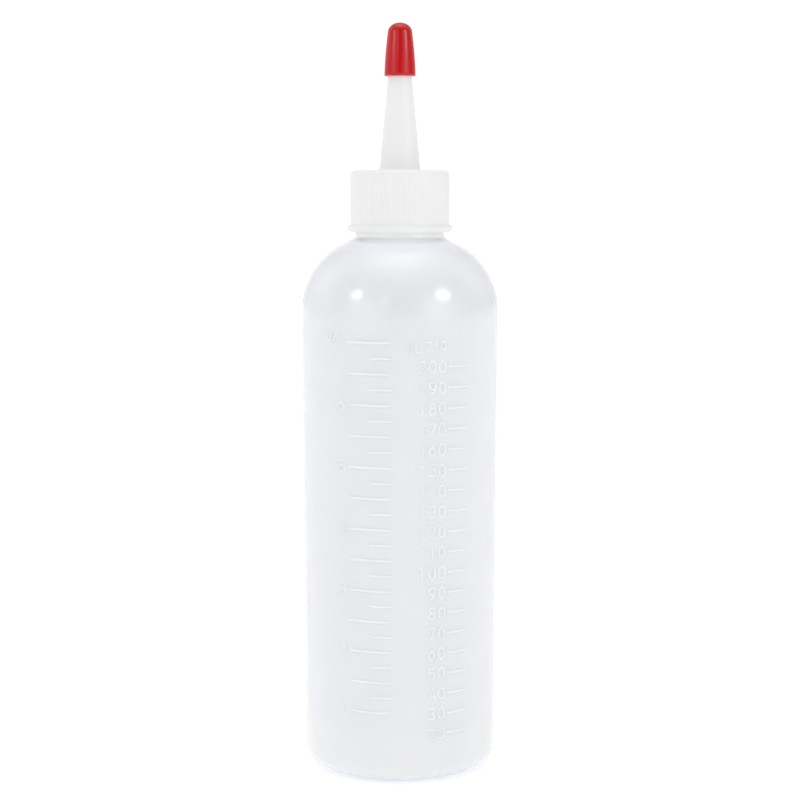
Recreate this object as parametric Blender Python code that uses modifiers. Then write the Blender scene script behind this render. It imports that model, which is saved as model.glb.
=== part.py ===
"""Glue applicator bottle: a natural LDPE squeeze bottle with a ribbed screw closure whose
roof runs up into a long tapered spout, a foam seal ring inside it, and a red tip cap.

The origin is on the axis, in the plane of the standing ring. +Z runs up to the tip and the
graduated side of the bottle faces -Y. Every turned piece is a profile of (radius, height)
points that starts inside, comes over the top and runs down the outer side.
"""

import math

import bmesh
import bpy

MM = 0.001

# ---- Bottle body ---------------------------------------------------------------------
BASE_RADIUS = 25.22 * MM          # outer wall just above the heel
SHOULDER_RADIUS = 25.78 * MM      # outer wall where the shoulder begins
WALL = 0.9 * MM
HEEL_RADIUS = 5.5 * MM
RING_INNER_RADIUS = 17.6 * MM     # inner edge of the flat standing ring
PUSH_UP_STEP = 1.6 * MM           # rise of the push-up just inside the ring
PUSH_UP_HEIGHT = 2.9 * MM         # rise of the push-up on the axis
SHOULDER_HEIGHT = 121.0 * MM      # where the wall turns into the shoulder arc
SHOULDER_ARC = 19.96 * MM
SHOULDER_CONE = math.radians(24.5)    # slope of the short cone between arc and neck

# ---- Neck finish ---------------------------------------------------------------------
NECK_BORE = 9.6 * MM
NECK_BAND_RADIUS = 11.55 * MM
NECK_BAND_TOP = 143.2 * MM
NECK_RADIUS = 10.85 * MM          # thread root
LAND_HEIGHT = 155.0 * MM
LAND_ROUND = 0.4 * MM

# ---- Screw thread --------------------------------------------------------------------
THREAD_PITCH = 3.175 * MM         # eight turns an inch
THREAD_TURNS = 1.5
NECK_THREAD_START = 147.9 * MM
NECK_THREAD_RADIUS = 0.9 * MM     # radius of the round ridge
CAP_THREAD_RADIUS = 0.7 * MM
THREAD_SINK = 0.6 * MM            # how far a ridge dives into its wall at both ends

# ---- Closure with spout --------------------------------------------------------------
CAP_BOTTOM = 141.7 * MM
CAP_TOP = 157.7 * MM
CAP_RADIUS = 12.9 * MM            # skirt between the ribs
CAP_INNER_RADIUS = 12.12 * MM
CAP_ROOF = 1.1 * MM
CAP_EDGE_ROUND = 1.1 * MM
BEAD_RADIUS = 13.82 * MM
BEAD_HEIGHT = 1.9 * MM
RIB_COUNT = 60
RIB_CREST_RADIUS = 13.13 * MM
RIB_BOTTOM = 145.4 * MM
RIB_TOP = 156.0 * MM
SPOUT_BASE_RADIUS = 5.35 * MM
SPOUT_END_RADIUS = 2.0 * MM
SPOUT_TOP = 193.5 * MM
SPOUT_BORE_BASE = 4.1 * MM
SPOUT_BORE_END = 0.8 * MM

# ---- Seal ring -----------------------------------------------------------------------
FIT_GAP = 0.3 * MM                # clearance between touching pieces
SEAL_INNER_RADIUS = 8.0 * MM
SEAL_OUTER_RADIUS = 11.6 * MM

# ---- Tip cap -------------------------------------------------------------------------
TIP_BOTTOM = 182.0 * MM
TIP_TOP = 195.8 * MM
TIP_MOUTH_RADIUS = 4.08 * MM
TIP_SHOULDER_RADIUS = 3.2 * MM
TIP_DOME_START = 193.2 * MM
TIP_BULGE = 1.6                   # power of the taper: 1 is a straight cone, more bulges

# ---- Mesh fineness -------------------------------------------------------------------
BOTTLE_STEPS = 48
CAP_STEPS = 60
SMALL_STEPS = 32
THREAD_STEPS_PER_TURN = 28
SHARP_ANGLE = math.radians(35)

NATURAL = (0.84, 0.85, 0.86, 1.0)
CAP_WHITE = (0.88, 0.88, 0.88, 1.0)
FOAM_WHITE = (0.92, 0.92, 0.90, 1.0)
RED = (0.60, 0.012, 0.02, 1.0)


def clear_scene():
    for obj in list(bpy.data.objects):
        bpy.data.objects.remove(obj, do_unlink=True)


def new_collection(name):
    collection = bpy.data.collections.new(name)
    bpy.context.scene.collection.children.link(collection)
    return collection


def plastic(name, color, roughness, transmission=0.0):
    material = bpy.data.materials.new(name)
    material.use_nodes = True
    shader = material.node_tree.nodes["Principled BSDF"]
    shader.inputs["Base Color"].default_value = color
    shader.inputs["Roughness"].default_value = roughness
    shader.inputs["Metallic"].default_value = 0.0
    shader.inputs["Transmission Weight"].default_value = transmission
    material.diffuse_color = color
    return material


def arc(center, radius, start, end, steps):
    """Points on a circular arc in the profile plane, angles in degrees from +radius."""
    points = []
    for index in range(steps + 1):
        angle = math.radians(start + (end - start) * index / steps)
        points.append((center[0] + radius * math.cos(angle), center[1] + radius * math.sin(angle)))
    return points


def turned(name, profile, steps, collection, closed=False):
    """A profile of (radius, height) points swept once round Z."""
    mesh = bpy.data.meshes.new(name)
    form = bmesh.new()
    rail = [form.verts.new((radius, 0.0, height)) for radius, height in profile]
    for first, second in zip(rail, rail[1:]):
        form.edges.new((first, second))
    if closed:
        form.edges.new((rail[-1], rail[0]))
    form.to_mesh(mesh)
    form.free()
    obj = bpy.data.objects.new(name, mesh)
    collection.objects.link(obj)
    screw = obj.modifiers.new("turn", "SCREW")
    screw.axis = "Z"
    screw.steps = steps
    screw.render_steps = steps
    screw.use_merge_vertices = True
    screw.merge_threshold = 0.00005
    return obj


def baked_mesh(obj):
    """A new mesh of the object as its modifiers or its bevel leave it."""
    bpy.context.view_layer.update()
    evaluated = obj.evaluated_get(bpy.context.evaluated_depsgraph_get())
    return bpy.data.meshes.new_from_object(evaluated)


def finish(obj, material):
    """Apply the modifiers, shade the round faces smooth and set the material."""
    mesh = baked_mesh(obj)
    mesh.name = obj.name
    obj.modifiers.clear()
    obj.data = mesh
    mesh.shade_smooth()
    mesh.set_sharp_from_angle(angle=SHARP_ANGLE)
    mesh.materials.clear()
    mesh.materials.append(material)


def curve_to_cutter(curve_object, collection):
    """Turn a capped curve into a closed mesh that a Boolean can use."""
    mesh = baked_mesh(curve_object)
    form = bmesh.new()
    form.from_mesh(mesh)
    bmesh.ops.remove_doubles(form, verts=form.verts, dist=0.000002)
    bmesh.ops.recalc_face_normals(form, faces=form.faces)
    form.to_mesh(mesh)
    form.free()
    name = curve_object.name
    matrix = curve_object.matrix_world.copy()
    bpy.data.objects.remove(curve_object, do_unlink=True)
    cutter = bpy.data.objects.new(name, mesh)
    cutter.matrix_world = matrix
    cutter.hide_render = True
    cutter.display_type = "WIRE"
    collection.objects.link(cutter)
    return cutter


def join_to(obj, other):
    union = obj.modifiers.new(other.name, "BOOLEAN")
    union.operation = "UNION"
    union.solver = "EXACT"
    union.object = other


def thread_ridge(name, wall_radius, ridge_radius, start_height, sink, collection):
    """A round right-handed ridge on a wall, diving into it at both ends.

    sink is negative on an outer thread, whose ends dive towards the axis, and positive
    on an inner thread, whose ends dive away from it.
    """
    count = int(THREAD_STEPS_PER_TURN * THREAD_TURNS) + 1
    fade_count = 5
    curve = bpy.data.curves.new(name, "CURVE")
    curve.dimensions = "3D"
    curve.bevel_depth = ridge_radius
    curve.bevel_resolution = 2
    curve.use_fill_caps = True
    spline = curve.splines.new("POLY")
    spline.points.add(count - 1)
    for index in range(count):
        turn = index / THREAD_STEPS_PER_TURN
        angle = 2.0 * math.pi * turn
        from_end = min(index, count - 1 - index)
        rise = math.sin(0.5 * math.pi * min(1.0, from_end / fade_count))
        radius = wall_radius + sink * (1.0 - rise)
        height = start_height + THREAD_PITCH * turn
        spline.points[index].co = (radius * math.cos(angle), radius * math.sin(angle), height, 1.0)
        spline.points[index].radius = 0.35 + 0.65 * rise
    obj = bpy.data.objects.new(name, curve)
    collection.objects.link(obj)
    return curve_to_cutter(obj, collection)


def body_side(inset, neck_radius):
    """The bottle's side from the neck down to the heel, moved inwards by inset."""
    center = SHOULDER_RADIUS - SHOULDER_ARC
    radius = SHOULDER_ARC - inset
    top_angle = 90.0 - math.degrees(SHOULDER_CONE)
    shoulder = arc((center, SHOULDER_HEIGHT), radius, top_angle, 0.0, 8)
    cone_end = shoulder[0]
    neck_height = cone_end[1] + (cone_end[0] - neck_radius) * math.tan(SHOULDER_CONE)
    heel_center = (BASE_RADIUS - HEEL_RADIUS, HEEL_RADIUS)
    heel = arc(heel_center, HEEL_RADIUS - inset, 0.0, -90.0, 5)
    return [(neck_radius, neck_height)] + shoulder + heel


def base_panel(inset):
    """The push-up inside the standing ring, from the ring's inner edge to the axis."""
    return [
        (RING_INNER_RADIUS, inset),
        (RING_INNER_RADIUS - 1.1 * MM, inset + 0.55 * PUSH_UP_STEP),
        (RING_INNER_RADIUS - 2.4 * MM, inset + PUSH_UP_STEP),
        (0.5 * RING_INNER_RADIUS, inset + 0.88 * PUSH_UP_HEIGHT),
        (0.0, inset + PUSH_UP_HEIGHT),
    ]


def make_bottle(parts, cutters):
    inside = body_side(WALL, NECK_BORE) + base_panel(WALL)
    neck = [
        (NECK_BORE, LAND_HEIGHT),
        (NECK_RADIUS - LAND_ROUND, LAND_HEIGHT),
        (NECK_RADIUS, LAND_HEIGHT - LAND_ROUND),
        (NECK_RADIUS, NECK_BAND_TOP + (NECK_BAND_RADIUS - NECK_RADIUS)),
        (NECK_BAND_RADIUS, NECK_BAND_TOP),
    ]
    outside = body_side(0.0, NECK_BAND_RADIUS) + base_panel(0.0)
    bottle = turned("bottle", inside[::-1] + neck + outside, BOTTLE_STEPS, parts)
    ridge = thread_ridge(
        "neck_thread", NECK_RADIUS, NECK_THREAD_RADIUS, NECK_THREAD_START, -THREAD_SINK, cutters
    )
    join_to(bottle, ridge)
    finish(bottle, plastic("natural_ldpe", NATURAL, 0.35, 0.35))
    return bottle


def rib_ring(collection):
    """The grip ribs as one toothed ring, an outline extruded along the skirt."""
    outline = []
    for index in range(2 * RIB_COUNT):
        angle = math.pi * index / RIB_COUNT
        radius = RIB_CREST_RADIUS if index % 2 else CAP_RADIUS - 0.02 * MM
        outline.append((radius * math.cos(angle), radius * math.sin(angle)))
    hole_radius = 0.5 * (CAP_RADIUS + CAP_INNER_RADIUS)
    hole = []
    for index in range(RIB_COUNT):
        angle = 2.0 * math.pi * index / RIB_COUNT
        hole.append((hole_radius * math.cos(angle), hole_radius * math.sin(angle)))
    curve = bpy.data.curves.new("grip_ribs", "CURVE")
    curve.dimensions = "2D"
    curve.fill_mode = "BOTH"
    curve.extrude = 0.5 * (RIB_TOP - RIB_BOTTOM)
    for ring in (outline, hole):
        spline = curve.splines.new("POLY")
        spline.points.add(len(ring) - 1)
        spline.use_cyclic_u = True
        for point, place in zip(spline.points, ring):
            point.co = (place[0], place[1], 0.0, 1.0)
    obj = bpy.data.objects.new("grip_ribs", curve)
    obj.location = (0.0, 0.0, 0.5 * (RIB_TOP + RIB_BOTTOM))
    collection.objects.link(obj)
    return curve_to_cutter(obj, collection)


def make_spout_cap(parts, cutters, carrier):
    roof_under = CAP_TOP - CAP_ROOF
    bore = [(SPOUT_BORE_BASE, roof_under), (SPOUT_BORE_END, SPOUT_TOP)]
    spout = [
        (SPOUT_END_RADIUS - 0.3 * MM, SPOUT_TOP),
        (SPOUT_END_RADIUS, SPOUT_TOP - 0.3 * MM),
        (SPOUT_BASE_RADIUS, CAP_TOP + 0.5 * MM),
        (SPOUT_BASE_RADIUS + 0.45 * MM, CAP_TOP),
    ]
    edge_center = (CAP_RADIUS - CAP_EDGE_ROUND, CAP_TOP - CAP_EDGE_ROUND)
    edge = arc(edge_center, CAP_EDGE_ROUND, 90.0, 0.0, 4)
    half_bead = 0.5 * BEAD_HEIGHT
    bead = arc((BEAD_RADIUS - half_bead, CAP_BOTTOM + half_bead), half_bead, 80.0, -90.0, 6)
    inner = [
        (CAP_INNER_RADIUS + 0.35 * MM, CAP_BOTTOM),
        (CAP_INNER_RADIUS, CAP_BOTTOM + 0.5 * MM),
        (CAP_INNER_RADIUS, roof_under),
    ]
    skirt = [(CAP_RADIUS, CAP_BOTTOM + BEAD_HEIGHT)]
    profile = bore + spout + edge + skirt + bead + inner
    cap = turned("spout_cap", profile, CAP_STEPS, parts, closed=True)
    ridge = thread_ridge(
        "cap_thread",
        CAP_INNER_RADIUS,
        CAP_THREAD_RADIUS,
        NECK_THREAD_START - 0.5 * THREAD_PITCH,
        0.5 * THREAD_SINK,
        cutters,
    )
    join_to(cap, ridge)
    join_to(cap, rib_ring(cutters))
    finish(cap, plastic("cap_polyethylene", CAP_WHITE, 0.4, 0.1))
    cap.parent = carrier
    return cap


def make_neck_seal(parts, carrier):
    low = LAND_HEIGHT + FIT_GAP
    high = CAP_TOP - CAP_ROOF - FIT_GAP
    profile = [
        (SEAL_INNER_RADIUS, low),
        (SEAL_INNER_RADIUS, high),
        (SEAL_OUTER_RADIUS, high),
        (SEAL_OUTER_RADIUS, low),
    ]
    seal = turned("neck_seal", profile, BOTTLE_STEPS, parts, closed=True)
    finish(seal, plastic("seal_foam", FOAM_WHITE, 0.8))
    seal.parent = carrier
    return seal


def spout_radius(height):
    """Outer radius of the spout at a height."""
    part = (height - CAP_TOP) / (SPOUT_TOP - CAP_TOP)
    return SPOUT_BASE_RADIUS + part * (SPOUT_END_RADIUS - SPOUT_BASE_RADIUS)


def make_tip_cap(parts, carrier):
    socket_top = SPOUT_TOP + FIT_GAP
    inner = [
        (0.0, socket_top),
        (spout_radius(SPOUT_TOP) + FIT_GAP, socket_top),
        (spout_radius(TIP_BOTTOM) + FIT_GAP, TIP_BOTTOM),
    ]
    dome_rise = TIP_TOP - TIP_DOME_START
    dome = []
    for index in range(6):
        angle = 0.5 * math.pi * index / 6
        dome.append((TIP_SHOULDER_RADIUS * math.sin(angle), TIP_DOME_START + dome_rise * math.cos(angle)))
    side = []
    for index in range(5):
        down = index / 4
        swell = 1.0 - (1.0 - down) ** TIP_BULGE
        radius = TIP_SHOULDER_RADIUS + (TIP_MOUTH_RADIUS - TIP_SHOULDER_RADIUS) * swell
        side.append((radius, TIP_DOME_START + down * (TIP_BOTTOM - TIP_DOME_START)))
    tip = turned("tip_cap", dome + side + inner[::-1], SMALL_STEPS, parts)
    finish(tip, plastic("tip_red", RED, 0.3))
    tip.parent = carrier
    return tip


def joint_empty(name, height, parent, collection):
    """An empty on the shared axis that carries the pieces of one moving body."""
    empty = bpy.data.objects.new(name, None)
    empty.empty_display_size = 10.0 * MM
    collection.objects.link(empty)
    bpy.context.view_layer.update()
    parent_height = parent.matrix_world.translation.z if parent else 0.0
    empty.parent = parent
    empty.location = (0.0, 0.0, height - parent_height)
    return empty


def keep_place(obj):
    """Cancel the parent's offset, because the piece's mesh is drawn in object space."""
    bpy.context.view_layer.update()
    obj.matrix_parent_inverse = obj.parent.matrix_world.inverted()


def main():
    clear_scene()
    parts = new_collection("glue_applicator_bottle")
    cutters = new_collection("cutters")
    lift = joint_empty("closure_lift_carrier", CAP_BOTTOM, None, parts)
    turn = joint_empty("closure_turn_carrier", CAP_BOTTOM, lift, parts)
    pull = joint_empty("tip_pull_carrier", TIP_BOTTOM, turn, parts)
    make_bottle(parts, cutters)
    for piece in (
        make_spout_cap(parts, cutters, turn),
        make_neck_seal(parts, lift),
        make_tip_cap(parts, pull),
    ):
        keep_place(piece)


main()
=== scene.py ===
"""Looks of the glue applicator bottle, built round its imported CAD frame.

Everything is in metres in the part's own frame: the axis is Z, the bottle stands on z = 0
and its graduated side faces -Y. Each CAD node is replaced by a fine mesh of the same size.
"""

import math

import bmesh
import bpy
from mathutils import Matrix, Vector


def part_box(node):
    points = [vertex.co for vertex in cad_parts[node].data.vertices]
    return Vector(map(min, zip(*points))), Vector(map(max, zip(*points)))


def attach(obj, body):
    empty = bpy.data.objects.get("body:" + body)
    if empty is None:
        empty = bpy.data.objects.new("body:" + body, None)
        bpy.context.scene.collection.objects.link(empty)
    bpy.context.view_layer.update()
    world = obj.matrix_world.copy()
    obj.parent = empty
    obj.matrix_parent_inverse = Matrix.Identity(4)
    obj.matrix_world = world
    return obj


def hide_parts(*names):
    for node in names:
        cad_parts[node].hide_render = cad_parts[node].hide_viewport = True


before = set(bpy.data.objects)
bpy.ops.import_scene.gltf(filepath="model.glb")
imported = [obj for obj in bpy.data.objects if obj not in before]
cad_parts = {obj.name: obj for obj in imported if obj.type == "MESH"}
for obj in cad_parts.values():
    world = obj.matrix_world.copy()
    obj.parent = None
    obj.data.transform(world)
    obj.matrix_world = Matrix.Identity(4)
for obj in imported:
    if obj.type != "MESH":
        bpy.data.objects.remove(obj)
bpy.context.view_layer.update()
MM = 0.001


# ---- Sizes read from the frame ---------------------------------------------------------

BOTTLE_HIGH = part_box("bottle")[1]
CAP_LOW, CAP_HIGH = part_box("spout_cap")
TIP_LOW, TIP_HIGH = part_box("tip_cap")
SEAL_LOW, SEAL_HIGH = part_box("neck_seal")

SHOULDER_RADIUS = BOTTLE_HIGH.x
BEAD_RADIUS = CAP_HIGH.x
LAND_Z = BOTTLE_HIGH.z
CAP_BOTTOM = CAP_LOW.z
SPOUT_TOP = CAP_HIGH.z
TIP_MOUTH_RADIUS = TIP_HIGH.x
TIP_BOTTOM = TIP_LOW.z
TIP_TOP = TIP_HIGH.z
SEAL_RADIUS = SEAL_HIGH.x

# ---- Bottle, the same driving dimensions as the frame ----------------------------------

BASE_RADIUS = 25.22 * MM
WALL = 0.9 * MM
HEEL_RADIUS = 5.5 * MM
SHOULDER_Z = 121.0 * MM
SHOULDER_ARC = 19.96 * MM
SHOULDER_CONE = math.radians(24.5)
RING_INNER = 17.6 * MM
RING_OUTER = BASE_RADIUS - HEEL_RADIUS
PUSH_UP_STEP = 1.6 * MM
PUSH_UP_HEIGHT = 2.9 * MM
NECK_BORE = 9.6 * MM
NECK_BAND_RADIUS = 11.55 * MM
NECK_BAND_TOP = 143.2 * MM
NECK_RADIUS = 10.85 * MM
NECK_CORNER = 0.85 * MM           # rounding where the neck meets the shoulder
NECK_CORNER_INSIDE = 1.2 * MM
THREAD_PITCH = 3.175 * MM
THREAD_TURNS = 1.5
NECK_THREAD_Z = 147.9 * MM
NECK_THREAD_RADIUS = 0.9 * MM
NECK_THREAD_SINK = 0.6 * MM       # how far its ends dive into the neck
CAP_THREAD_RADIUS = 0.7 * MM
CAP_THREAD_SINK = 0.3 * MM

# ---- Closure and spout -----------------------------------------------------------------

CAP_TOP = 157.7 * MM
CAP_ROOT_RADIUS = 12.9 * MM
RIB_CREST_RADIUS = 13.03 * MM
CAP_BORE = 12.12 * MM
CAP_ROOF = 1.1 * MM
CAP_EDGE = 1.3 * MM               # rounding of the top edge
BEAD_HEIGHT = 1.9 * MM
RIB_COUNT = 60
RIB_BOTTOM = 145.4 * MM
RIB_TOP = 156.2 * MM
SPOUT_BASE_RADIUS = 5.35 * MM
SPOUT_END_RADIUS = 2.0 * MM
SPOUT_BORE_BASE = 4.1 * MM
SPOUT_BORE_END = 0.8 * MM

# ---- Seal ------------------------------------------------------------------------------

SEAL_BORE = 8.0 * MM
SEAL_EDGE = 0.15 * MM

# ---- Tip cap ---------------------------------------------------------------------------

TIP_SHOULDER_RADIUS = 3.2 * MM
TIP_DOME_Z = 193.2 * MM
TIP_BULGE = 1.6                   # how full its side is: 1 would be a straight cone
TIP_LIP = 0.15 * MM
TIP_GAP = 0.3 * MM                # between its socket and the spout

# ---- Graduations -----------------------------------------------------------------------

ML_ZERO_Z = 2.75 * MM             # height at which the scale would read nothing
ML_STEP_Z = 5.279 * MM            # 10 mL
OZ_ZERO_Z = 3.2 * MM
OZ_STEP_Z = 15.9 * MM             # one fluid ounce
MARK_HEIGHT = 0.10 * MM           # how far the marks stand off the wall
TICK_WIDTH = 0.65 * MM
STROKE_WIDTH = 0.55 * MM
DIGIT_HEIGHT = 2.9 * MM
DIGIT_ASPECT = 0.66               # width of a digit beside its height
DIGIT_SPACING = 0.95              # step from one digit to the next beside its height
SMALL_HEIGHT = 2.1 * MM

# Where the marks start and end, in degrees round the wall from the front centre.
ML_TICK = (28.4, 41.3)
ML_DIGITS_END = 27.0
ML_TOP_DIGITS_END = 26.8
ML_LETTERS_END = 11.6
OZ_LONG_TICK = (-30.3, -5.5)
OZ_SHORT_TICK = (-17.5, -4.5)
OZ_DIGITS_END = -33.4
OZ_LETTERS_END = -34.0


def arc(center, radius, start, end, steps):
    """Points on a circular arc in the profile plane, angles in degrees from +radius."""
    points = []
    for index in range(steps + 1):
        angle = math.radians(start + (end - start) * index / steps)
        points.append((center[0] + radius * math.cos(angle), center[1] + radius * math.sin(angle)))
    return points


def rounded(corners, steps=4):
    """A path through (radius, height, rounding) corners, each rounded by an arc-like curve."""
    path = []
    last = len(corners) - 1
    for index, corner in enumerate(corners):
        here = Vector(corner[:2])
        if index in (0, last) or corner[2] == 0.0:
            path.append(tuple(here))
            continue
        before = Vector(corners[index - 1][:2]) - here
        after = Vector(corners[index + 1][:2]) - here
        half_angle = 0.5 * before.angle(after)
        reach = min(corner[2] / math.tan(half_angle), 0.48 * before.length, 0.48 * after.length)
        start = here + before.normalized() * reach
        end = here + after.normalized() * reach
        for step in range(steps + 1):
            part = step / steps
            point = start * (1 - part) ** 2 + here * 2 * part * (1 - part) + end * part ** 2
            path.append(tuple(point))
    return path


def dense(path, longest):
    """The path with points added so that no stretch is longer than longest."""
    points = [path[0]]
    for first, second in zip(path, path[1:]):
        length = math.dist(first, second)
        count = max(1, math.ceil(length / longest))
        for step in range(1, count + 1):
            part = step / count
            points.append(tuple(a + (b - a) * part for a, b in zip(first, second)))
    return points


def turned(name, profile, segments, closed=False, shape=None):
    """A (radius, height) profile swept round Z. It starts inside and runs down the outside.

    shape(radius, height, angle, index) returns the radius and height to use instead, where
    index counts the points of the profile.
    """
    form = bmesh.new()
    columns = []
    poles = {}
    for segment in range(segments):
        angle = 2.0 * math.pi * segment / segments
        column = []
        for index, (radius, height) in enumerate(profile):
            if radius < 1e-7:
                if index not in poles:
                    poles[index] = form.verts.new((0.0, 0.0, height))
                column.append(poles[index])
                continue
            if shape:
                radius, height = shape(radius, height, angle, index)
            place = (radius * math.cos(angle), radius * math.sin(angle), height)
            column.append(form.verts.new(place))
        columns.append(column)
    count = len(profile)
    steps = count if closed else count - 1
    for segment in range(segments):
        left, right = columns[segment], columns[(segment + 1) % segments]
        for index in range(steps):
            following = (index + 1) % count
            corners = [left[index], left[following], right[following], right[index]]
            unique = []
            for corner in corners:
                if corner not in unique:
                    unique.append(corner)
            if len(unique) > 2:
                form.faces.new(unique)
    return shaded(name, form)


SHARP_ANGLE = 40.0


def shaded(name, form, sharp=SHARP_ANGLE):
    """A new object from a bmesh, shaded smooth except across edges sharper than an angle."""
    mesh = bpy.data.meshes.new(name)
    form.to_mesh(mesh)
    form.free()
    mesh.shade_smooth()
    mesh.set_sharp_from_angle(angle=math.radians(sharp))
    obj = bpy.data.objects.new(name, mesh)
    bpy.context.scene.collection.objects.link(obj)
    return obj


def smooth_step(value):
    """A smooth rise from 0 at 0 to 1 at 1, level on either side."""
    value = min(1.0, max(0.0, value))
    return value * value * (3.0 - 2.0 * value)


def tube(name, path, radii, sides=14):
    """A closed round tube along a path, with a radius for each point."""
    form = bmesh.new()
    rings = []
    for index, point in enumerate(path):
        ahead = path[min(index + 1, len(path) - 1)]
        behind = path[max(index - 1, 0)]
        along = (Vector(ahead) - Vector(behind)).normalized()
        up = Vector((0.0, 0.0, 1.0))
        side = along.cross(up).normalized()
        up = side.cross(along).normalized()
        ring = []
        for corner in range(sides):
            angle = 2.0 * math.pi * corner / sides
            offset = side * math.cos(angle) + up * math.sin(angle)
            ring.append(form.verts.new(Vector(point) + offset * radii[index]))
        rings.append(ring)
    for first, second in zip(rings, rings[1:]):
        for corner in range(sides):
            after = (corner + 1) % sides
            form.faces.new((first[corner], first[after], second[after], second[corner]))
    form.faces.new(rings[0][::-1])
    form.faces.new(rings[-1])
    bmesh.ops.recalc_face_normals(form, faces=form.faces)
    return shaded(name, form)


def join_union(obj, other):
    """Boolean union of a second closed mesh into obj, applied."""
    modifier = obj.modifiers.new("union", "BOOLEAN")
    modifier.operation = "UNION"
    modifier.solver = "EXACT"
    modifier.object = other
    bpy.context.view_layer.update()
    evaluated = obj.evaluated_get(bpy.context.evaluated_depsgraph_get())
    mesh = bpy.data.meshes.new_from_object(evaluated)
    obj.modifiers.clear()
    obj.data = mesh
    mesh.shade_smooth()
    mesh.set_sharp_from_angle(angle=math.radians(SHARP_ANGLE))
    bpy.data.objects.remove(other, do_unlink=True)


# ---- Materials -------------------------------------------------------------------------


class Nodes:
    """A short way to write a node tree, for a material or for the world."""

    def __init__(self, owner, output="OutputMaterial"):
        self.owner = owner
        owner.use_nodes = True
        self.tree = owner.node_tree
        self.tree.nodes.clear()
        self.output = self.add(output)

    def add(self, kind, **values):
        node = self.tree.nodes.new("ShaderNode" + kind)
        for key, value in values.items():
            setattr(node, key, value)
        return node

    def link(self, source, target):
        self.tree.links.new(source, target)

    def math(self, operation, first, second, third=0.0):
        """A Math node whose inputs are sockets or plain numbers."""
        node = self.add("Math", operation=operation)
        for socket, value in zip(node.inputs, (first, second, third)):
            if isinstance(value, (int, float)):
                socket.default_value = value
            else:
                self.link(value, socket)
        return node.outputs["Value"]

    def noise(self, scale, detail=3.0):
        """A cloudy value that stays with the surface."""
        coordinates = self.add("TexCoord")
        texture = self.add("TexNoise")
        texture.inputs["Scale"].default_value = scale
        texture.inputs["Detail"].default_value = detail
        self.link(coordinates.outputs["Object"], texture.inputs["Vector"])
        return texture.outputs["Fac"]

    def ramp(self, factor, low, high):
        """A colour between two, across the middle of a noise value's range."""
        node = self.add("ValToRGB")
        node.color_ramp.elements[0].position = 0.35
        node.color_ramp.elements[0].color = low
        node.color_ramp.elements[1].position = 0.65
        node.color_ramp.elements[1].color = high
        self.link(factor, node.inputs["Fac"])
        return node.outputs["Color"]

    def by_height(self, stops):
        """A colour that changes with height up the part, from (height, colour) stops."""
        coordinates = self.add("TexCoord")
        parts = self.add("SeparateXYZ")
        self.link(coordinates.outputs["Object"], parts.inputs["Vector"])
        top = stops[-1][0]
        node = self.add("ValToRGB")
        elements = node.color_ramp.elements
        while len(elements) < len(stops):
            elements.new(0.5)
        for index, (height, colour) in enumerate(stops):
            elements[index].position = height / top
            elements[index].color = colour
        self.link(self.math("DIVIDE", parts.outputs["Z"], top), node.inputs["Fac"])
        return node.outputs["Color"]

    def times(self, first, second):
        """One colour multiplied by another, through the Mix node's colour sockets."""
        node = self.add("Mix", data_type="RGBA", blend_type="MULTIPLY")
        node.inputs[0].default_value = 1.0
        self.link(first, node.inputs[6])
        self.link(second, node.inputs[7])
        return node.outputs[2]

    def span(self, factor, low, high):
        """A number between two, across the middle of a noise value's range."""
        node = self.add("MapRange")
        node.inputs["From Min"].default_value = 0.3
        node.inputs["From Max"].default_value = 0.7
        node.inputs["To Min"].default_value = low
        node.inputs["To Max"].default_value = high
        self.link(factor, node.inputs["Value"])
        return node.outputs["Result"]

    def bump(self, height, distance, strength, under=None):
        """A bumped normal, laid over another one where under is given."""
        node = self.add("Bump")
        node.inputs["Strength"].default_value = strength
        node.inputs["Distance"].default_value = distance
        self.link(height, node.inputs["Height"])
        if under:
            self.link(under, node.inputs["Normal"])
        return node.outputs["Normal"]


def milky_plastic(name, pale, deep, rough, gloss=0.75, soak=0.0, reach=(1.0, 1.0, 1.0), tint_and_painted_light=None):
    """Polyethylene: a smooth skin over a milky body that light can soak into.

    pale and deep are the two colours of its faint clouding, and rough its lowest and highest
    roughness. soak is how much of the light spreads inside, either one number or (height,
    grey) stops, and reach how many millimetres each colour travels there. The last argument
    holds (height, colour) stops that tint it and can paint light and shade on it by height.
    """
    nodes = Nodes(bpy.data.materials.new(name))
    cloud = nodes.noise(90.0, 4.0)
    grain = nodes.noise(2600.0, 2.0)
    flow = nodes.noise(260.0, 3.0)
    bump = nodes.bump(flow, 0.06 * MM, 0.35)
    bump = nodes.bump(grain, 0.01 * MM, 0.5, bump)
    skin = nodes.add("BsdfPrincipled")
    colour = nodes.ramp(cloud, deep, pale)
    # tint, and painted light and shade, by height over the base colour
    if tint_and_painted_light:
        colour = nodes.times(colour, nodes.by_height(tint_and_painted_light))
    nodes.link(colour, skin.inputs["Base Color"])
    nodes.link(nodes.span(flow, *rough), skin.inputs["Roughness"])
    nodes.link(bump, skin.inputs["Normal"])
    skin.inputs["IOR"].default_value = 1.51
    skin.inputs["Specular IOR Level"].default_value = gloss
    if isinstance(soak, list):
        nodes.link(nodes.by_height(soak), skin.inputs["Subsurface Weight"])
    else:
        skin.inputs["Subsurface Weight"].default_value = soak
    skin.inputs["Subsurface Radius"].default_value = reach
    skin.inputs["Subsurface Scale"].default_value = MM
    nodes.link(skin.outputs["BSDF"], nodes.output.inputs["Surface"])
    return nodes.owner


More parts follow.
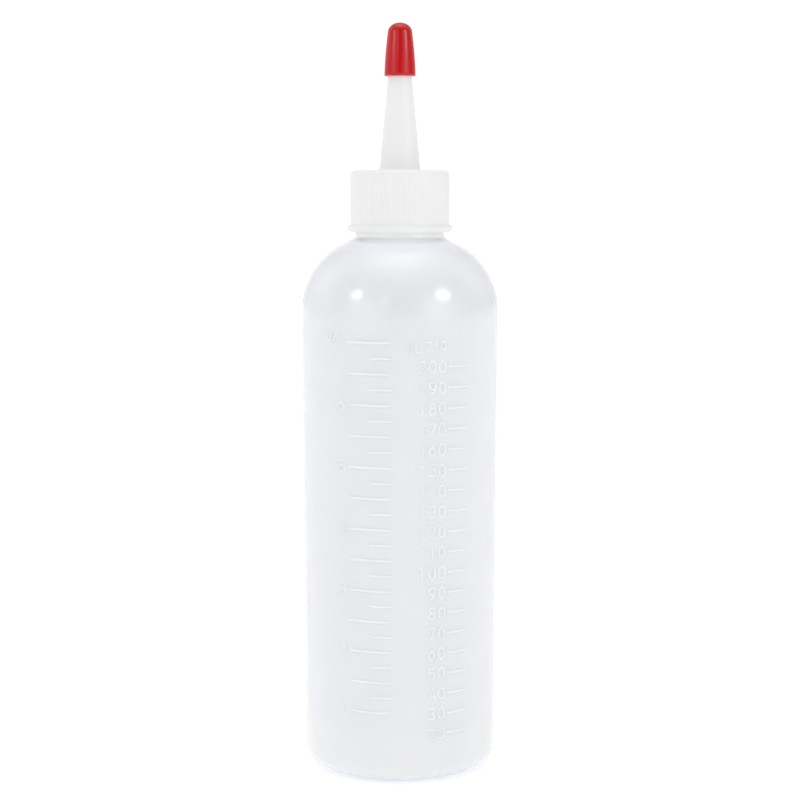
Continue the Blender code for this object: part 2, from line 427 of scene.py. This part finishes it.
def foam(name):
    """Closed-cell foam of the seal: matte, with fine cells."""
    nodes = Nodes(bpy.data.materials.new(name))
    coordinates = nodes.add("TexCoord")
    cells = nodes.add("TexVoronoi")
    cells.inputs["Scale"].default_value = 3200.0
    nodes.link(coordinates.outputs["Object"], cells.inputs["Vector"])
    shader = nodes.add("BsdfPrincipled")
    colour = nodes.ramp(nodes.noise(700.0), (0.80, 0.80, 0.77, 1), (0.90, 0.90, 0.88, 1))
    nodes.link(colour, shader.inputs["Base Color"])
    shader.inputs["Roughness"].default_value = 0.8
    nodes.link(nodes.bump(cells.outputs["Distance"], 0.08 * MM, 0.6), shader.inputs["Normal"])
    nodes.link(shader.outputs["BSDF"], nodes.output.inputs["Surface"])
    return nodes.owner


# The bottle's tint by height, with painted light and shade in it. The wall keeps its own cool,
# slightly grey tint. The heel is painted lighter as light from the table below. The neck band
# is painted lighter to lift the shade under the closure's bead. The standing edge is painted
# darkest as shade where it meets the table.
FOOT_SHADE_TONE = (0.88, 0.89, 0.93, 1)
LOW_SHADE_TONE = (0.89, 0.90, 0.945, 1)
WALL_TONE = (0.912, 0.925, 0.99, 1)
HEEL_LIT_TONE = (0.948, 0.955, 0.985, 1)
NECK_LIT_TONE = (1.0, 1.0, 1.0, 1)
FINISH_TONE = (0.94, 0.945, 0.965, 1)
BOTTLE_TINT_AND_PAINTED_LIGHT = [
    # painted shade: the standing edge and the bottom of the heel darker where they meet the table
    (0.0, FOOT_SHADE_TONE),
    (3.0 * MM, LOW_SHADE_TONE),
    # painted light: the heel lighter, as lit from the table below
    (5.5 * MM, HEEL_LIT_TONE),
    (10.0 * MM, HEEL_LIT_TONE),
    (16.0 * MM, WALL_TONE),
    (139.5 * MM, WALL_TONE),
    # painted light: the neck band whiter, lifting the shade under the closure's bead
    (140.8 * MM, NECK_LIT_TONE),
    (NECK_BAND_TOP, NECK_LIT_TONE),
    (144.5 * MM, FINISH_TONE),
    (160.0 * MM, FINISH_TONE),
]
# Light soaks into the wall and shoulder, but not into the neck.
WALL_SOAK = (0.5, 0.5, 0.5, 1)
NECK_SOAK = (0.0, 0.0, 0.0, 1)
BOTTLE_SOAKS = [
    (0.0, WALL_SOAK),
    (136.5 * MM, WALL_SOAK),
    (140.0 * MM, NECK_SOAK),
    (160.0 * MM, NECK_SOAK),
]
# Its base colour carries painted light and shade from the height stops over its own tint.
LDPE = milky_plastic(
    "milky_ldpe",
    pale=(1.0, 1.0, 1.0, 1),
    deep=(0.985, 0.985, 0.985, 1),
    rough=(0.14, 0.18),
    soak=BOTTLE_SOAKS,
    reach=(2.5, 2.5, 2.5),
    tint_and_painted_light=BOTTLE_TINT_AND_PAINTED_LIGHT,
)
MARKS = milky_plastic(
    "milky_ldpe_marks",
    pale=(0.885, 0.898, 0.935, 1),
    deep=(0.875, 0.888, 0.925, 1),
    rough=(0.2, 0.26),
)
CAP_PE = milky_plastic(
    "moulded_polyethylene",
    pale=(0.89, 0.89, 0.892, 1),
    deep=(0.875, 0.875, 0.877, 1),
    rough=(0.48, 0.56),
)
RED = milky_plastic(
    "sealer_red",
    pale=(0.575, 0.006, 0.012, 1),
    deep=(0.535, 0.005, 0.01, 1),
    rough=(0.17, 0.23),
    gloss=0.4,
    soak=0.4,
    reach=(1.2, 0.2, 0.12),
)
FOAM = foam("cell_foam")


# ---- Bottle ----------------------------------------------------------------------------


def wall_radius(height):
    """Outer radius of the straight wall at a height."""
    part = (height - HEEL_RADIUS) / (SHOULDER_Z - HEEL_RADIUS)
    return BASE_RADIUS + part * (SHOULDER_RADIUS - BASE_RADIUS)


def body_side(inset, neck_radius, neck_round):
    """Side from the neck down to the heel, moved inwards by inset from the outer face."""
    center = SHOULDER_RADIUS - SHOULDER_ARC
    top_angle = 90.0 - math.degrees(SHOULDER_CONE)
    shoulder = arc((center, SHOULDER_Z), SHOULDER_ARC - inset, top_angle, 0.0, 28)
    cone_end = shoulder[0]
    slope = math.tan(SHOULDER_CONE)
    neck_z = cone_end[1] + (cone_end[0] - neck_radius) * slope
    corner = rounded([
        (neck_radius, neck_z + 2 * neck_round, 0.0),
        (neck_radius, neck_z, neck_round),
        (*cone_end, 0.0),
    ])
    heel = arc((RING_OUTER, HEEL_RADIUS), HEEL_RADIUS - inset, 0.0, -90.0, 14)
    return corner[:-1] + shoulder + dense([shoulder[-1], heel[0]], 4.0 * MM)[1:-1] + heel


def base_panel(inset):
    """Push-up from the standing ring's inner edge to the axis."""
    corners = [
        (RING_OUTER, inset, 0.0),
        (RING_INNER, inset, 0.35 * MM),
        (RING_INNER - 1.3 * MM, inset + PUSH_UP_STEP, 0.8 * MM),
        (0.5 * RING_INNER, inset + 0.86 * PUSH_UP_HEIGHT, 6.0 * MM),
        (0.0, inset + PUSH_UP_HEIGHT, 0.0),
    ]
    return rounded(corners, 6)[1:]


def make_bottle():
    """The blown shell with its push-up base, neck and neck thread."""
    inside = body_side(WALL, NECK_BORE, NECK_CORNER_INSIDE) + base_panel(WALL)
    neck = rounded([
        (NECK_BORE, LAND_Z - 4.0 * MM, 0.0),
        (NECK_BORE, LAND_Z, 0.25 * MM),
        (NECK_RADIUS, LAND_Z, 0.4 * MM),
        (NECK_RADIUS, NECK_BAND_TOP + 0.7 * MM, 0.3 * MM),
        (NECK_BAND_RADIUS, NECK_BAND_TOP, 0.3 * MM),
        (NECK_BAND_RADIUS, NECK_BAND_TOP - 1.0 * MM, 0.0),
    ])
    outside = body_side(0.0, NECK_BAND_RADIUS, NECK_CORNER) + base_panel(0.0)
    bottle = turned("bottle_shell", inside[::-1] + neck + outside, 240)
    screw = thread("neck_thread", NECK_RADIUS, NECK_THREAD_RADIUS, NECK_THREAD_Z, -NECK_THREAD_SINK)
    join_union(bottle, screw)
    bottle.data.materials.clear()
    bottle.data.materials.append(LDPE)
    return bottle


def thread(name, wall, thickness, start, sink):
    """A round right-handed helical ridge whose ends thin out and dive into the wall by sink."""
    per_turn = 96
    fade = 16
    count = int(per_turn * THREAD_TURNS) + 1
    path = []
    radii = []
    for index in range(count):
        turn = index / per_turn
        angle = 2.0 * math.pi * turn
        from_end = min(index, count - 1 - index)
        rise = smooth_step(from_end / fade)
        radius = wall + sink * (1.0 - rise)
        path.append((radius * math.cos(angle), radius * math.sin(angle), start + THREAD_PITCH * turn))
        radii.append(thickness * (0.35 + 0.65 * rise))
    return tube(name, path, radii)


# ---- Graduations -----------------------------------------------------------------------

# Each glyph is a list of strokes in a box one wide and one high. An arc is written as
# (centre x, centre y, radius x, radius y, start degrees, end degrees).
GLYPHS = {
    "0": [[(0.5, 0.5, 0.46, 0.5, 0, 360)]],
    "1": [[(0.22, 0.80), (0.55, 1.0), (0.55, 0.0)]],
    "2": [[(0.5, 0.70, 0.44, 0.30, 165, -35), (0.06, 0.0), (0.95, 0.0)]],
    "3": [[(0.48, 0.75, 0.40, 0.25, 150, -90)], [(0.48, 0.27, 0.45, 0.27, 90, -150)]],
    "4": [[(0.72, 0.0), (0.72, 1.0), (0.04, 0.30), (0.98, 0.30)]],
    "5": [[(0.90, 1.0), (0.20, 1.0), (0.12, 0.56), (0.46, 0.32, 0.46, 0.32, 115, -150)]],
    "6": [[(0.78, 0.96), (0.50, 0.88), (0.50, 0.32, 0.43, 0.32, 165, 525)]],
    "7": [[(0.06, 1.0), (0.94, 1.0), (0.36, 0.0)]],
    "8": [[(0.5, 0.76, 0.37, 0.24, 0, 360)], [(0.5, 0.26, 0.45, 0.27, 0, 360)]],
    "9": [[(0.5, 0.68, 0.43, 0.32, 0, 360)], [(0.93, 0.68), (0.86, 0.30), (0.55, 0.02), (0.24, 0.05)]],
    "O": [[(0.5, 0.5, 0.48, 0.5, 0, 360)]],
    "Z": [[(0.06, 1.0), (0.94, 1.0), (0.06, 0.0), (0.94, 0.0)]],
    "M": [[(0.04, 0.0), (0.04, 1.0), (0.5, 0.25), (0.96, 1.0), (0.96, 0.0)]],
    "L": [[(0.12, 1.0), (0.12, 0.0), (0.90, 0.0)]],
    ".": [[(0.0, 0.0), (0.12, 0.0)]],
}


def stroke_points(stroke):
    """The points of one glyph stroke, with its arcs drawn out."""
    points = []
    for item in stroke:
        if len(item) == 2:
            points.append(item)
            continue
        center_x, center_y, radius_x, radius_y, start, end = item
        count = max(4, round(abs(end - start) / 20))
        for step in range(count + 1):
            angle = math.radians(start + (end - start) * step / count)
            points.append((center_x + radius_x * math.cos(angle), center_y + radius_y * math.sin(angle)))
    return points


# Half of a mark's cross-section, as (side, rise) beside its width and height. It starts
# under the wall's face.
HALF_SECTION = [(-0.5, -0.6), (-0.5, 0.15), (-0.34, 0.72)]


def ridge(form, points, width, height):
    """A low round-topped ridge along flat points (across, up), standing off the wall.

    The form is built flat, with x across, y as depth off the wall and z up.
    """
    section = HALF_SECTION + [(0.0, 1.0)] + [(-side, rise) for side, rise in reversed(HALF_SECTION)]
    looped = math.dist(points[0], points[-1]) < 1e-6
    if looped:
        points = points[:-1]
    count = len(points)
    rings = []
    for index, point in enumerate(points):
        ahead = points[(index + 1) % count] if looped or index + 1 < count else point
        behind = points[index - 1] if looped or index else point
        first = Vector(point) - Vector(behind)
        second = Vector(ahead) - Vector(point)
        if first.length < 1e-9:
            first = second
        if second.length < 1e-9:
            second = first
        first.normalize()
        second.normalize()
        along = (first + second).normalized()
        across = Vector((along.y, -along.x))
        stretch = 1.0 / max(0.6, along.dot(first))
        ring = []
        for side, rise in section:
            place = Vector(point) + across * (side * width * stretch)
            ring.append(form.verts.new((place.x, rise * height, place.y)))
        rings.append(ring)
    size = len(section)
    pairs = list(zip(rings, rings[1:]))
    if looped:
        pairs.append((rings[-1], rings[0]))
    for first, second in pairs:
        for corner in range(size):
            after = (corner + 1) % size
            form.faces.new((first[corner], second[corner], second[after], first[after]))
    if not looped:
        form.faces.new(rings[0])
        form.faces.new(rings[-1][::-1])


def word(form, text, right, middle, size=DIGIT_HEIGHT):
    """Digits or letters drawn as ridges, ending at right and centred at the height middle."""
    for place, letter in enumerate(reversed(text)):
        width = DIGIT_ASPECT * size
        left = right - place * DIGIT_SPACING * size - width
        for stroke in GLYPHS[letter]:
            points = []
            for across, up in stroke_points(stroke):
                points.append((left + across * width, middle + (up - 0.5) * size))
            ridge(form, points, STROKE_WIDTH, MARK_HEIGHT)


def tick(form, ends, height):
    """A level mark between two azimuths, cut into short lengths so that it can follow the wall."""
    left, right = (at_degrees(degrees) for degrees in ends)
    count = max(2, math.ceil((right - left) / (1.5 * MM)))
    points = [(left + (right - left) * step / count, height) for step in range(count + 1)]
    ridge(form, points, TICK_WIDTH, MARK_HEIGHT)


def at_degrees(degrees):
    """Distance round the wall from the front centre to an azimuth to the right of it."""
    return math.radians(degrees) * SHOULDER_RADIUS


def millilitre_scale(form):
    """A mark and a number every 10 mL from 20 to 200, and a last number in small digits."""
    for step in range(2, 21):
        height = ML_ZERO_Z + step * ML_STEP_Z
        tick(form, ML_TICK, height)
        word(form, str(10 * step), at_degrees(ML_DIGITS_END), height)
    top = ML_ZERO_Z + 21 * ML_STEP_Z
    word(form, "210", at_degrees(ML_TOP_DIGITS_END), top, SMALL_HEIGHT)
    word(form, "ML", at_degrees(ML_LETTERS_END), top - 0.5 * MM, SMALL_HEIGHT)


def ounce_scale(form):
    """A mark every quarter ounce from 1 to 7, long on the halves, with a number on the ounces."""
    for quarter in range(4, 29):
        height = OZ_ZERO_Z + 0.25 * quarter * OZ_STEP_Z
        tick(form, OZ_SHORT_TICK if quarter % 2 else OZ_LONG_TICK, height)
        if quarter % 4 == 0 and quarter < 28:
            word(form, str(quarter // 4), at_degrees(OZ_DIGITS_END), height)
    top = OZ_ZERO_Z + 7 * OZ_STEP_Z
    word(form, "OZ.", at_degrees(OZ_LETTERS_END), top + 1.3 * MM, SMALL_HEIGHT)


def make_graduations():
    """All the raised marks, drawn flat and then wrapped round the wall."""
    form = bmesh.new()
    millilitre_scale(form)
    ounce_scale(form)
    for vertex in form.verts:
        across, depth, height = vertex.co
        angle = across / SHOULDER_RADIUS - 0.5 * math.pi
        radius = wall_radius(height) + depth
        vertex.co = (radius * math.cos(angle), radius * math.sin(angle), height)
    bmesh.ops.recalc_face_normals(form, faces=form.faces)
    marks = shaded("graduations", form, 60.0)
    marks.data.materials.append(MARKS)
    return marks


# ---- Closure with spout ----------------------------------------------------------------


def make_spout_cap():
    """The ribbed closure with its bottom bead, its thread and the hollow conical spout."""
    roof_under = CAP_TOP - CAP_ROOF
    bead_mid = CAP_BOTTOM + 0.5 * BEAD_HEIGHT
    bead = arc((BEAD_RADIUS - 0.5 * BEAD_HEIGHT, bead_mid), 0.5 * BEAD_HEIGHT, 62.0, -90.0, 14)
    outer = rounded([
        (SPOUT_BORE_END, SPOUT_TOP - 1.0 * MM, 0.0),
        (SPOUT_BORE_END, SPOUT_TOP, 0.15 * MM),
        (SPOUT_END_RADIUS, SPOUT_TOP, 0.3 * MM),
        (SPOUT_BASE_RADIUS, CAP_TOP, 0.7 * MM),
        (CAP_ROOT_RADIUS, CAP_TOP, CAP_EDGE),
        (CAP_ROOT_RADIUS, bead[0][1], 0.3 * MM),
        (*bead[0], 0.0),
    ], 6)
    inner = rounded([
        (*bead[-1], 0.0),
        (CAP_BORE + 0.35 * MM, CAP_BOTTOM, 0.15 * MM),
        (CAP_BORE, CAP_BOTTOM + 0.6 * MM, 0.3 * MM),
        (CAP_BORE, roof_under, 0.5 * MM),
        (SPOUT_BORE_BASE, roof_under, 0.4 * MM),
        (SPOUT_BORE_END, SPOUT_TOP - 1.5 * MM, 0.0),
    ])
    outline = dense(outer, 1.0 * MM) + bead[1:] + inner[1:]
    crest = RIB_CREST_RADIUS - CAP_ROOT_RADIUS

    def ribbed(radius, height, angle, index):
        inside = index >= len(outline) - len(inner)
        if inside or abs(radius - CAP_ROOT_RADIUS) > 0.01 * MM:
            return radius, height
        bottom_fade = smooth_step((height - RIB_BOTTOM) / (0.9 * MM))
        top_fade = smooth_step((RIB_TOP - height) / (0.8 * MM))
        wave = 0.5 + 0.5 * math.cos(RIB_COUNT * angle)
        return radius + crest * bottom_fade * top_fade * wave ** 0.8, height

    cap = turned("closure_with_spout", outline, RIB_COUNT * 8, closed=True, shape=ribbed)
    thread_start = NECK_THREAD_Z - 0.5 * THREAD_PITCH
    join_union(cap, thread("cap_thread", CAP_BORE, CAP_THREAD_RADIUS, thread_start, CAP_THREAD_SINK))
    cap.data.materials.clear()
    cap.data.materials.append(CAP_PE)
    return cap


def make_seal():
    """The foam ring under the closure's roof. Its outline starts and ends along its underside."""
    corners = [
        (SEAL_RADIUS - 2.0 * MM, SEAL_LOW.z, 0.0),
        (SEAL_BORE, SEAL_LOW.z, SEAL_EDGE),
        (SEAL_BORE, SEAL_HIGH.z, SEAL_EDGE),
        (SEAL_RADIUS, SEAL_HIGH.z, SEAL_EDGE),
        (SEAL_RADIUS, SEAL_LOW.z, SEAL_EDGE),
        (SEAL_RADIUS - 1.9 * MM, SEAL_LOW.z, 0.0),
    ]
    seal = turned("foam_seal", rounded(corners), 128, closed=True)
    seal.data.materials.append(FOAM)
    return seal


def spout_radius(height):
    """Outer radius of the spout at a height."""
    part = (height - CAP_TOP) / (SPOUT_TOP - CAP_TOP)
    return SPOUT_BASE_RADIUS + part * (SPOUT_END_RADIUS - SPOUT_BASE_RADIUS)


def make_tip():
    """The red tip sealer: a dome on a swelling side, with a tapered socket for the spout."""
    rise = TIP_TOP - TIP_DOME_Z
    dome = []
    for index in range(16):
        angle = 0.5 * math.pi * index / 16
        dome.append((TIP_SHOULDER_RADIUS * math.sin(angle), TIP_DOME_Z + rise * math.cos(angle)))
    side = []
    for index in range(21):
        down = index / 20
        swell = 1.0 - (1.0 - down) ** TIP_BULGE
        radius = TIP_SHOULDER_RADIUS + (TIP_MOUTH_RADIUS - TIP_SHOULDER_RADIUS) * swell
        side.append((radius, TIP_DOME_Z + down * (TIP_BOTTOM + TIP_LIP - TIP_DOME_Z)))
    socket_top = SPOUT_TOP + TIP_GAP
    end_radius = spout_radius(SPOUT_TOP) + TIP_GAP
    mouth_radius = spout_radius(TIP_BOTTOM) + TIP_GAP
    inside = rounded([
        (TIP_MOUTH_RADIUS, TIP_BOTTOM + TIP_LIP, 0.0),
        (TIP_MOUTH_RADIUS - 0.12 * MM, TIP_BOTTOM, 0.1 * MM),
        (mouth_radius, TIP_BOTTOM, 0.15 * MM),
        (end_radius, socket_top, 0.5 * MM),
        (0.0, socket_top, 0.0),
    ])
    tip = turned("tip_sealer", dome + side + inside[1:], 96)
    tip.data.materials.append(RED)
    return tip


# ---- Studio ----------------------------------------------------------------------------


CAMERA_PLACE = (0.0, -0.4997, 0.1541)
CAMERA_DIP = 6.49                 # degrees below level
CAMERA_LENS = 85.36
SENSOR_WIDTH = 36.0


def make_camera():
    """The photograph's view: from the front and slightly above."""
    data = bpy.data.cameras.new("camera")
    camera = bpy.data.objects.new("camera", data)
    bpy.context.scene.collection.objects.link(camera)
    data.sensor_width = SENSOR_WIDTH
    data.lens = CAMERA_LENS
    data.clip_start = 0.01
    camera.location = CAMERA_PLACE
    camera.rotation_euler = (math.radians(90.0 - CAMERA_DIP), 0.0, 0.0)
    bpy.context.scene.camera = camera


TABLE_GLOW = 0.183
TABLE_DROP = 0.05 * MM            # keeps the table's face clear of the bottle's
BACKDROP = 1.1

# Each patch of the light tent: the direction it lies in, how narrow it is and how bright.
TENT = [
    ((0.0, 0.0, 1.0), 4.0, 1.86),
    ((0.0, 0.0, 1.0), 24.0, 0.68),
    ((0.0, 1.0, 0.12), 6.0, 1.1),
    ((-1.0, 0.0, 0.1), 8.0, 0.6),
    ((1.0, 0.0, 0.1), 8.0, 0.16),
    ((-0.8, 0.37, 0.47), 16.0, 1.0),
    ((0.8, 0.37, 0.47), 16.0, 0.72),
    ((-1.0, -1.0, 0.1), 12.0, 1.42),
    ((1.0, -1.0, 0.1), 12.0, 1.78),
    ((-0.29, -0.894, 0.342), 300.0, 2.6),
    ((-1.0, 1.0, 0.1), 12.0, 0.46),
    ((1.0, 1.0, 0.1), 12.0, 0.38),
]

# Each soft round lamp: its place, its width and height, and its power.
LAMPS = {
    "key_left": ((-0.614, -0.425, 0.465), (0.185, 0.2), 0.43),
    "key_right": ((0.608, -0.431, 0.467), (0.25, 0.225), 0.72),
}
LAMP_TARGET = (0.0, 0.0, 0.12)


def make_lamps():
    """Soft lamps aimed at the bottle's shoulder."""
    for name, (place, size, power) in LAMPS.items():
        data = bpy.data.lights.new(name, "AREA")
        data.shape = "ELLIPSE"
        data.size, data.size_y = size
        data.energy = power
        light = bpy.data.objects.new(name, data)
        light.location = place
        facing = Vector(place) - Vector(LAMP_TARGET)
        light.rotation_euler = facing.to_track_quat("Z", "Y").to_euler()
        bpy.context.scene.collection.objects.link(light)


def make_floor():
    """A wide white table that glows a little, with no visible edge."""
    nodes = Nodes(bpy.data.materials.new("studio_floor"))
    shader = nodes.add("BsdfPrincipled")
    shader.inputs["Base Color"].default_value = (0.93, 0.93, 0.93, 1)
    shader.inputs["Roughness"].default_value = 0.7
    shader.inputs["Specular IOR Level"].default_value = 0.1
    shader.inputs["Emission Color"].default_value = (1.0, 1.0, 1.0, 1.0)
    shader.inputs["Emission Strength"].default_value = TABLE_GLOW
    nodes.link(shader.outputs["BSDF"], nodes.output.inputs["Surface"])
    form = bmesh.new()
    bmesh.ops.create_circle(form, cap_ends=True, segments=96, radius=4.0)
    floor = shaded("floor", form)
    floor.location.z = -TABLE_DROP
    floor.data.materials.append(nodes.owner)
    nodes.owner.cycles.emission_sampling = "NONE"


def make_world():
    """Soft light from patches of a tent, which the camera sees as a plain white background."""
    world = bpy.data.worlds.new("studio")
    bpy.context.scene.world = world
    nodes = Nodes(world, "OutputWorld")
    direction = nodes.add("TexCoord").outputs["Generated"]
    total = 0.0
    for toward, narrowness, strength in TENT:
        facing = nodes.add("VectorMath", operation="DOT_PRODUCT")
        facing.inputs[1].default_value = Vector(toward).normalized()
        nodes.link(direction, facing.inputs[0])
        front = nodes.math("MAXIMUM", facing.outputs["Value"], 0.0)
        patch = nodes.math("POWER", front, narrowness)
        total = nodes.math("MULTIPLY_ADD", patch, strength, total)
    tent = nodes.add("Background")
    tent.inputs["Color"].default_value = (1.0, 1.0, 1.0, 1.0)
    nodes.link(total, tent.inputs["Strength"])
    white = nodes.add("Background")
    white.inputs["Color"].default_value = (1.0, 1.0, 1.0, 1.0)
    white.inputs["Strength"].default_value = BACKDROP
    seen = nodes.add("MixShader")
    nodes.link(nodes.add("LightPath").outputs["Is Camera Ray"], seen.inputs["Fac"])
    nodes.link(tent.outputs["Background"], seen.inputs[1])
    nodes.link(white.outputs["Background"], seen.inputs[2])
    nodes.link(seen.outputs["Shader"], nodes.output.inputs["Surface"])


def make_studio():
    """The camera, table, tent and lamps, and how light is followed through them."""
    scene = bpy.context.scene
    scene.view_settings.view_transform = "Standard"
    scene.cycles.diffuse_bounces = 10
    scene.cycles.max_bounces = 16
    scene.cycles.caustics_reflective = False
    scene.cycles.caustics_refractive = False
    make_camera()
    make_floor()
    make_world()
    make_lamps()


# ---- Put together ----------------------------------------------------------------------


def stand_for(piece, body, node):
    """Tie a piece to its body and hide the CAD node it stands for, if any."""
    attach(piece, body)
    if node:
        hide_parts(node)


make_studio()
stand_for(make_bottle(), "bottle_body", "bottle")
stand_for(make_graduations(), "bottle_body", None)
stand_for(make_spout_cap(), "closure_body", "spout_cap")
stand_for(make_seal(), "seal_body", "neck_seal")
stand_for(make_tip(), "tip_body", "tip_cap")
